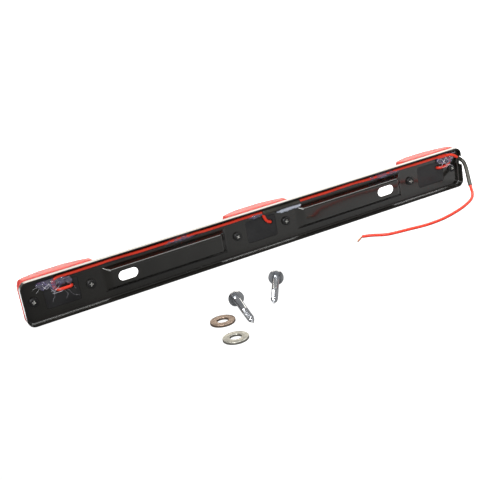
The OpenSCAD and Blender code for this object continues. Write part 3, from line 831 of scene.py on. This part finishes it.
# %% Wires
WIRE_Y = FLOOR_Y - WIRE_D / 2 - 0.1 * MM
RUN_Z = tray_high.z - 3.7 * MM
HOLE_X = 7.5 * MM
HOLE_Z = 3.2 * MM
BOARD_Y = 10.0 * MM
DIVE_R = 2.0 * MM
TURN_R = (RUN_Z - HOLE_Z) / 2
JOINT_X = 1.5 * MM
SLEEVE_END = 32.5 * MM
CRIMP_X = 159.4 * MM
CRIMP_END = 166.4 * MM
SLACK = 0.22 * MM
KNOT_STEP = 6 * MM


def slack_run(x0, x1, z, seed):
    """Points along X that rise and fall a little, and meet the run exactly at both ends."""
    swing = random.Random(seed)
    count = max(2, round(abs(x1 - x0) / KNOT_STEP))
    out = []
    for k in range(count + 1):
        t = k / count
        hold = min(1, 4 * t, 4 * (1 - t))
        dz = SLACK * hold * (math.sin(17 * t + seed) + 0.6 * swing.uniform(-1, 1))
        out.append(Vector((x0 + (x1 - x0) * t, WIRE_Y - 0.12 * MM * hold * swing.random(), z + dz)))
    return out


def dive(x, side):
    """Bend from a run along X into the hole at x, then on to the board."""
    centre = Vector((x - side * DIVE_R, WIRE_Y + DIVE_R, HOLE_Z))
    return bend(centre, -90, 90 * side - 90, DIVE_R, "xy", 6) + [Vector((x, BOARD_Y, HOLE_Z))]


def red_tube(name, points, node):
    wire = to_mesh(smooth_line(name, points, WIRE_D / 2, sides=5))
    shade(wire, 60)
    return part_of_bar(wire, name, red_wire, [node])


left_turn = Vector((-LAMP_X - 0.6 * MM, WIRE_Y, (RUN_Z + HOLE_Z) / 2))
right_turn = Vector((CRIMP_END, WIRE_Y, (RUN_Z + HOLE_Z) / 2))
left_hole, right_hole = HOLE_X - LAMP_X, HOLE_X + LAMP_X
red_tube("wire_to_left_lamp",
         slack_run(JOINT_X, left_turn.x, RUN_Z, 1)[:-1]
         + bend(left_turn, 90, 270, TURN_R)
         + [Vector((left_hole - DIVE_R - 1.5 * MM, WIRE_Y, HOLE_Z))] + dive(left_hole, 1),
         "wire_left")
red_tube("wire_to_centre_lamp",
         [Vector((x * MM, WIRE_Y, z * MM)) for x, z in ((2.3, 11.2), (2.8, 8.8), (3.9, 5.9), (5.6, 4.0))]
         + [Vector((HOLE_X - 0.3 * MM, WIRE_Y + 0.2 * MM, HOLE_Z)),
            Vector((HOLE_X + 0.3 * MM, 5.4 * MM, HOLE_Z)),
            Vector((HOLE_X, 7 * MM, HOLE_Z)), Vector((HOLE_X, BOARD_Y, HOLE_Z))],
         "wire_centre_branch")
red_tube("wire_to_right_end", slack_run(SLEEVE_END, CRIMP_X, RUN_Z, 2), "wire_right")
red_tube("wire_to_right_lamp",
         bend(right_turn, 90, -90, TURN_R)
         + [Vector((right_hole + DIVE_R + 1.5 * MM, WIRE_Y, HOLE_Z))] + dive(right_hole, -1),
         "wire_right_branch")

# %% [markdown]
# ## Sleeves and joints
# Heat-shrink sleeve follows what is inside it, so it is a tube whose radius swells over
# the joint and wrinkles a little. Giving each knot of a curve its own radius does that.

# %% Sleeves
def sleeve(name, points, radii, node, material):
    line = smooth_line(name, points, 1.0 * MM, sides=6)
    for knot, radius in zip(line.data.splines[0].bezier_points, radii):
        knot.radius = radius / MM
    tube = to_mesh(line)
    shade(tube, 50)
    return part_of_bar(tube, name, material, [node])


def wrinkled(count, shape, seed, amount=0.05):
    swing = random.Random(seed)
    return [shape(k / (count - 1)) * MM * (1 + amount * swing.uniform(-1, 1)) for k in range(count)]


JOINT_Y = 2.3 * MM
CRIMP_KNOTS = (0, 0.5, 2, 3.5, 5, 6.5, 7)
CRIMP_RADII = (1.1, 1.35, 1.6, 1.45, 1.6, 1.35, 1.1)
splice_points = [Vector((x * MM, JOINT_Y, RUN_Z)) for x in
                 (1.5, 2.3, 5, 8, 11, 14, 17, 20, 23, 26, 29, 31.7, 32.5)]
splice_radii = wrinkled(
    13, lambda t: 1.5 if t < 0.05 else 2.1 if t < 0.42 else 1.8 if t < 0.95 else 1.45, 7, 0.03)
sleeve("middle_joint_sleeve", splice_points, splice_radii, "splice_sleeve", grey_sleeve)
crimp_points = [Vector((CRIMP_X + k * MM, JOINT_Y, RUN_Z)) for k in CRIMP_KNOTS]
sleeve("end_joint", crimp_points, [r * MM for r in CRIMP_RADII], "end_crimp", red_wire)
lead_sleeve = sleeve("lead_shrink_sleeve", LEAD_ROUTE[3:10],
                     wrinkled(7, lambda t: 1.62 if 0.05 < t < 0.95 else 1.5, 3, 0.03),
                     "lead_sleeve", grey_sleeve)

# %% [markdown]
# ## Bare end
# The lead ends stripped, as it is sold, ready to be joined. Its seven copper strands
# have stayed loosely twisted and spread a little at the tip.

# %% Strands
STRAND_COUNT = 7
STRAND_KNOTS = 9
STRAND_LEN = 8.6 * MM
STRAND_D = 0.42 * MM
STRAND_TURN = math.radians(215)
end = LEAD_ROUTE[-1]
along = Vector((math.cos(STRAND_TURN), math.sin(STRAND_TURN), 0))
across = Vector((-along.y, along.x, 0))
strands = []
for k in range(STRAND_COUNT):
    points = []
    for j in range(STRAND_KNOTS):
        t = j / (STRAND_KNOTS - 1)
        a = math.radians(60 * k + 300 * t)
        r = 0 if k == STRAND_COUNT - 1 else (0.40 + 0.08 * t * (k % 3)) * MM
        drop_z = -0.42 * MM * t * t
        points.append(end + along * (t * STRAND_LEN - 0.6 * MM * (1 - t))
                      + across * (r * math.cos(a)) + Vector((0, 0, drop_z + 0.75 * r * math.sin(a))))
    strands.append(to_mesh(smooth_line(f"strand_{k}", points, STRAND_D / 2, sides=2)))
lead_end = join(strands, "lead_strands_bare")
shade(lead_end, 60)
part_of_bar(lead_end, "lead_strands_bare", copper, ["lead_strands"])

# %% [markdown]
# ## Hot-melt glue
# The wires are held by beads of clear hot-melt glue. A bead is drops that ran together
# and froze: clear where it is thick, with bright glints and folds. So each bead is a row
# of stretched balls that a voxel Remesh melts into one skin, which is then smoothed,
# folded a little by a cloudy Displace and cut flat where it sits on the steel. At the
# two end lamps the nozzle also drew out fine threads, which are thin curves on the
# floor of the tray and over the wires.

# %% Beads
VOXEL = 0.24 * MM
FOLD_SIZE = 1.5 * MM


def glue_bead(name, node, drops, material, folds=0.6 * MM, extra=()):
    """drops are (x, y, z, length, depth, height) in millimetres. extra is threads to join on."""
    balls = []
    for x, y, z, length, depth, height in drops:
        start_fresh()
        bpy.ops.mesh.primitive_ico_sphere_add(subdivisions=3, radius=0.5,
                                              location=(x * MM, y * MM, z * MM))
        ball = bpy.context.object
        ball.scale = (length * MM, depth * MM, height * MM)
        balls.append(settle(ball))
    bead = join(balls, name)
    apply_modifier(bead, "REMESH", mode="VOXEL", voxel_size=VOXEL)
    apply_modifier(bead, "SMOOTH", factor=0.6, iterations=4)
    clouds = bpy.data.textures.new(name + "_folds", "CLOUDS")
    clouds.noise_scale = FOLD_SIZE
    clouds.noise_depth = 2
    apply_modifier(bead, "DISPLACE", texture=clouds, texture_coords="LOCAL", strength=folds,
                   mid_level=0.5)
    apply_modifier(bead, "SMOOTH", factor=0.5, iterations=2)
    edit()
    bpy.ops.mesh.select_all(action="SELECT")
    bpy.ops.mesh.bisect(plane_co=(0, FLOOR_Y - 0.02 * MM, 0), plane_no=(0, 1, 0),
                        clear_outer=True, use_fill=True)
    bpy.ops.mesh.select_all(action="SELECT")
    bpy.ops.mesh.bisect(plane_co=(0, 0, HALF_H - 0.05 * MM), plane_no=(0, 0, 1),
                        clear_outer=True, use_fill=True)
    leave_edit()
    bead.data.materials.append(material)
    bead = join([bead, *extra], name)
    shade(bead, 50)
    return part_of_bar(bead, name, None, [node])


OVER_WIRE = 2.3 * MM
LEFT_ON_FLOOR = [
    [(-168, 9), (-171.5, 7.6)], [(-166, 8), (-169.5, 5.2)],
    [(-151, 3), (-149, -1), (-150.5, -4.5)], [(-149, 2), (-145, -3), (-141.5, -5.2)],
    [(-157, 3), (-158.5, -1.5), (-160, -4)], [(-147, 6), (-143.5, 2), (-143, 0)]]
LEFT_OVER_WIRE = [
    [(-165, 9.5), (-162.5, 6.5), (-159, 9)], [(-161, 10), (-158, 6), (-155, 9)],
    [(-160, 4), (-156, 5), (-153, 3.4)], [(-164, 7.5), (-160, 9.5), (-156, 8)],
    [(-159, 2.6), (-155, 2), (-152, 2.8)], [(-160, 6), (-157.5, 3), (-154, 6.5)]]
RIGHT_OVER_WIRE = [
    [(160, 12), (164, 7.5), (168, 12)], [(158, 9), (163, 12.5), (170, 9)],
    [(162, 5), (166, 9.5), (172, 6)], [(164, 12.8), (170, 6.5), (175, 11)],
    [(160, 7), (168, 5.5), (173, 10)], [(167, 13), (173, 8)],
    [(161, 10.5), (170, 11.5), (176, 8.5)], [(159, 5), (164, 3), (169, 4.5)],
    [(166, 2.5), (170, 4), (172.5, 2)], [(172, 12), (176, 12.5)],
    [(163, 9), (166, 5), (171, 3)]]


def glue_strings(paths, radius, seed):
    """Threads of glue drawn out by the nozzle. Each path is a list of (x, z) in millimetres."""
    swing = random.Random(seed)
    out = []
    for path in paths:
        points = []
        for (x0, z0), (x1, z1) in zip(path, path[1:]):
            for t in (0, 0.35, 0.7):
                points.append(Vector(((x0 + (x1 - x0) * t + swing.uniform(-0.35, 0.35)) * MM,
                                      FLOOR_Y - (0.3 + swing.uniform(0, 0.25)) * MM,
                                      (z0 + (z1 - z0) * t + swing.uniform(-0.3, 0.3)) * MM)))
        points.append(Vector((path[-1][0] * MM, FLOOR_Y - 0.25 * MM, path[-1][1] * MM)))
        thread = to_mesh(smooth_line("string", points, radius, sides=1))
        thread.data.materials.append(glue_string)
        out.append(thread)
    return out


def strings_over(paths, radius, seed):
    """Threads that lie over the wires instead of on the floor of the tray."""
    out = glue_strings(paths, radius, seed)
    for line in out:
        line.location.y -= OVER_WIRE
        settle(line)
    return out


def row_of_drops(x0, x1, z, height, count, seed, depth=3.2, y=3.9, wander=0.5):
    swing = random.Random(seed)
    out = []
    for k in range(count):
        t = (k + 0.5) / count
        fat = 0.65 + 0.45 * math.sin(math.pi * t) + 0.15 * swing.uniform(-1, 1)
        out.append((x0 + (x1 - x0) * t, y + 0.3 * swing.uniform(-1, 1),
                    z + wander * swing.uniform(-1, 1),
                    1.9 * (x1 - x0) / count, depth * fat, height * fat))
    return out


glue_bead("glue_on_left_lamp", "glue_left_lamp",
          row_of_drops(-167.5, -147.5, 9.3, 6.0, 7, 11, depth=4.2, wander=1.0)
          + [(-157.5, 3.6, 7.5, 5.5, 4.8, 7.5), (-151.5, 3.6, 9.0, 7.0, 4.6, 6.5),
             (-164, 4.2, 7.6, 5, 3, 4), (-146.5, 4.1, 7.6, 5, 3, 5.5)],
          hot_glue, folds=1.1 * MM,
          extra=glue_strings(LEFT_ON_FLOOR, 0.045 * MM, 5)
          + strings_over(LEFT_OVER_WIRE, 0.11 * MM, 6))
glue_bead("glue_on_left_pad", "glue_left_pad",
          row_of_drops(-77.5, -50.7, 11.8, 3.6, 9, 12, depth=3.6, wander=0.3), hot_glue)
glue_bead("glue_at_centre", "glue_centre",
          row_of_drops(-8.5, 1.5, 10.9, 3.6, 4, 13, depth=3.8, wander=0.3), hot_glue)
glue_bead("glue_leaf", "glue_centre_leaf",
          row_of_drops(14.0, 33.0, 8.95, 3.1, 8, 14, depth=2.9, y=3.2, wander=0.15), milky_glue,
          folds=0.25 * MM)
glue_bead("glue_on_right_pad", "glue_right_pad",
          row_of_drops(95.7, 122.2, 11.6, 3.9, 9, 15, depth=3.6, wander=0.35), hot_glue)
glue_bead("glue_on_right_lamp", "glue_right_lamp",
          row_of_drops(159.8, 175.0, 9.0, 7.2, 6, 16, depth=4.2, wander=0.8)
          + [(163.5, 3.6, 11.5, 7, 4.6, 5), (170.5, 3.7, 8.5, 6, 4.4, 8)],
          hot_glue, folds=1.0 * MM,
          extra=strings_over(RIGHT_OVER_WIRE, 0.13 * MM, 8))

# %% [markdown]
# ## Mounting screws
# The two wood screws are zinc plated, with a pan head, a plain shank and a coarse
# thread that runs out at the point. The shank is a turned bar. Its thread is one small
# triangle carried round and along by a Screw modifier, and both are drawn in at the
# point ring by ring.

# %% Wood screw
WOOD_LEN = 35 * MM
WOOD_R = 2.3 * MM
CORE_R = 1.45 * MM
THREAD_FROM = 19 * MM
POINT = 6 * MM
PITCH = 2.1 * MM
TURNS = 7
THREAD_FOOT_R = CORE_R - 0.1 * MM
THREAD_HALF = 0.55 * MM
WOOD_HEAD_D = 10.2 * MM
WOOD_HEAD_H = 3.4 * MM
POINT_STEPS = 12


def draw_in(piece):
    """Narrows the last stretch to a point, ring by ring. The screw lies along +Z from z = 0."""
    only(piece)
    edit()
    for k in range(POINT_STEPS):
        z0 = WOOD_LEN - POINT + POINT * k / POINT_STEPS
        z1 = z0 + POINT / POINT_STEPS
        share = max(0.12, 1 - (k + 0.5) / POINT_STEPS)
        pick("VERT", lambda v: z0 <= v.co.z < z1 or (k == POINT_STEPS - 1 and v.co.z >= z1))
        bpy.ops.transform.resize(value=(share, share, 1), center_override=(0, 0, z0))
    leave_edit()


def bar_ring(profile, name):
    """A turned bar: the profile's points (radius, z) spun once round Z."""
    start_fresh()
    bpy.ops.mesh.primitive_circle_add(vertices=32, radius=profile[0][0],
                                      location=(0, 0, profile[0][1]), fill_type="NGON")
    bar = settle(bpy.context.object)
    bar.name = name
    edit()
    bpy.ops.mesh.select_all(action="SELECT")
    for (r0, z0), (r1, z1) in zip(profile, profile[1:]):
        bpy.ops.mesh.extrude_region_move(TRANSFORM_OT_translate={"value": (0, 0, z1 - z0)})
        bpy.ops.transform.resize(value=(r1 / r0, r1 / r0, 1), center_override=(0, 0, z1))
    bpy.ops.mesh.select_all(action="SELECT")
    bpy.ops.mesh.normals_make_consistent(inside=False)
    leave_edit()
    return bar


core_profile = [(WOOD_R + 0.35 * MM, -0.3 * MM), (WOOD_R, 0.5 * MM),
                (WOOD_R, THREAD_FROM - 0.8 * MM), (CORE_R, THREAD_FROM)]
core_profile += [(CORE_R, z * MM) for z in (24, 29)]
core_profile += [(CORE_R, WOOD_LEN - POINT + POINT * k / POINT_STEPS + 0.05 * MM)
                 for k in range(1, POINT_STEPS)]
core_profile += [(CORE_R, WOOD_LEN)]
core = bar_ring(core_profile, "core")
draw_in(core)
start_fresh()
bpy.ops.mesh.primitive_circle_add(vertices=3, radius=0.5 * MM,
                                  location=(CORE_R, 0, THREAD_FROM - 0.3 * MM),
                                  rotation=(math.pi / 2, 0, 0))
thread = settle(bpy.context.object)
edit()
corners = sorted(bmesh.from_edit_mesh(thread.data).verts, key=lambda v: v.co.z)
low_corner, crest_corner, high_corner = corners
low_corner.co = Vector((THREAD_FOOT_R, 0, THREAD_FROM - THREAD_HALF))
crest_corner.co = Vector((WOOD_R, 0, THREAD_FROM))
high_corner.co = Vector((THREAD_FOOT_R, 0, THREAD_FROM + THREAD_HALF))
bmesh.update_edit_mesh(thread.data)
leave_edit()
apply_modifier(thread, "SCREW", angle=2 * math.pi, screw_offset=PITCH, iterations=TURNS, steps=28,
               render_steps=28, use_merge_vertices=False)
only(thread)
edit()
pick("EDGE", lambda e: e.is_boundary)
bpy.ops.mesh.fill()
bpy.ops.mesh.select_all(action="SELECT")
bpy.ops.mesh.normals_make_consistent(inside=False)
leave_edit()
draw_in(thread)
print("thread", [round(v / MM, 2) for v in thread.dimensions])
wood_head = screw_head(WOOD_HEAD_D, WOOD_HEAD_H, 2.2 * MM, (5.6 * MM, 1.4 * MM, 2.0 * MM))
only(wood_head)
wood_head.rotation_euler = (math.pi, 0, 0)
settle(wood_head)
for shape in (core, thread, wood_head):
    shape.data.materials.clear()
    shape.data.materials.append(zinc)
    for face in shape.data.polygons:
        face.material_index = 0
wood_screw = join([core, thread, wood_head], "wood_screw")
shade(wood_screw, 35)
tilt = math.atan((WOOD_HEAD_D / 2 - WOOD_R) / (WOOD_LEN - POINT))
for letter, (x, y, heading) in (("a", (-28, -64, 238)), ("b", (-63, -75, 260))):
    one = copy_of(wood_screw, f"wood_screw_{letter}")
    place = (Matrix.Translation((x * MM, y * MM, SURFACE + WOOD_HEAD_D / 2 * math.cos(tilt)))
             @ Matrix.Rotation(math.radians(heading), 4, "Z")
             @ Matrix.Rotation(math.radians(90) + tilt, 4, "Y"))
    one.matrix_world = place
    part_of_bar(one, f"wood_screw_{letter}", None, [f"mounting_screw_{letter}"],
                f"mounting_screw_{letter}")
bpy.data.objects.remove(wood_screw)

# %% [markdown]
# ## Studio
# The bar stands on a sheet of white paper under one long soft box, with a second box low
# behind it and a small one in front. The low box draws the pale band along the top wall
# and the lenses. The paper looks white wherever the eye meets it, but its own tone, which
# the gloss black mirrors, is dark in front of the bar, a little lighter towards the right,
# and pale behind. So the tray keeps its depth and its end wall still catches a pale edge.

# %% Floor and lights
def white_to_the_eye(tree, shader, strength):
    """Adds plain white light to a shader for straight looks, and none for reflections."""
    looks = tree.nodes.new("ShaderNodeLightPath")
    glow = tree.nodes.new("ShaderNodeEmission")
    level = tree.nodes.new("ShaderNodeMath")
    level.operation = "MULTIPLY"
    level.inputs[1].default_value = strength
    add = tree.nodes.new("ShaderNodeAddShader")
    tree.links.new(looks.outputs["Is Camera Ray"], level.inputs[0])
    tree.links.new(level.outputs["Value"], glow.inputs["Strength"])
    tree.links.new(shader.outputs[0], add.inputs[0])
    tree.links.new(glow.outputs["Emission"], add.inputs[1])
    return add


DARK_PAPER = 0.03
PALE_PAPER = 0.8
PAPER_BEHIND = 0.75
start_fresh()
bpy.ops.mesh.primitive_plane_add(size=40, location=(0, 0, SURFACE - 0.02 * MM))
floor = bpy.context.object
floor.name = "studio_floor"
paper = bpy.data.materials.new("studio_paper")
paper.use_nodes = True
make, link = paper.node_tree.nodes.new, paper.node_tree.links.new
across_floor = make("ShaderNodeTexCoord")
parts = make("ShaderNodeSeparateXYZ")
fade = make("ShaderNodeMapRange")
for label, value in (("From Min", -0.24), ("From Max", 0.9),
                     ("To Min", DARK_PAPER), ("To Max", PALE_PAPER)):
    fade.inputs[label].default_value = value
behind = make("ShaderNodeMapRange")
behind.inputs["From Max"].default_value = 0.03
shade_of_floor = make("ShaderNodeMix")
shade_of_floor.inputs["B"].default_value = PAPER_BEHIND
link(across_floor.outputs["Object"], parts.inputs["Vector"])
link(parts.outputs["X"], fade.inputs["Value"])
link(parts.outputs["Y"], behind.inputs["Value"])
link(behind.outputs["Result"], shade_of_floor.inputs["Factor"])
link(fade.outputs["Result"], shade_of_floor.inputs["A"])
link(shade_of_floor.outputs["Result"], shader_of(paper).inputs["Base Color"])
shader_of(paper).inputs["Roughness"].default_value = 0.9
shader_of(paper).inputs["Specular IOR Level"].default_value = 0.1
lit = white_to_the_eye(paper.node_tree, shader_of(paper), 0.95)
paper_output = paper.node_tree.nodes["Material Output"]
link(lit.outputs["Shader"], paper_output.inputs["Surface"])
floor.data.materials.append(paper)


def soft_box(name, place, target, size, power, tint=(1, 1, 1)):
    start_fresh()
    bpy.ops.object.light_add(type="AREA", location=place)
    light = bpy.context.object
    light.name = name
    light.data.shape = "RECTANGLE"
    light.data.size, light.data.size_y = size
    light.data.energy = power
    light.data.color = tint
    aim = Vector(target) - Vector(place)
    light.rotation_euler = aim.to_track_quat("-Z", "Y").to_euler()
    return light


soft_box("top_box", (0.35, -0.05, 1.2), (0.35, -0.05, 0), (2.0, 0.9), 34)
soft_box("back_box", (0.62, 1.4, 0.50), (0, 0, 0), (1.9, 0.6), 8.5, (1, 0.95, 0.85))
soft_box("front_box", (-0.9, -1.0, 0.8), (0, 0, 0), (0.7, 0.5), 18)
bpy.context.scene.view_settings.view_transform = "Standard"
world = bpy.context.scene.world or bpy.data.worlds.new("studio")
bpy.context.scene.world = world
world.use_nodes = True
air = world.node_tree.nodes["Background"]
air.inputs["Color"].default_value = (1, 1, 1, 1)
air.inputs["Strength"].default_value = 0.3
lit = white_to_the_eye(world.node_tree, air, 0.7)
world.node_tree.links.new(lit.outputs["Shader"], world.node_tree.nodes["World Output"].inputs["Surface"])
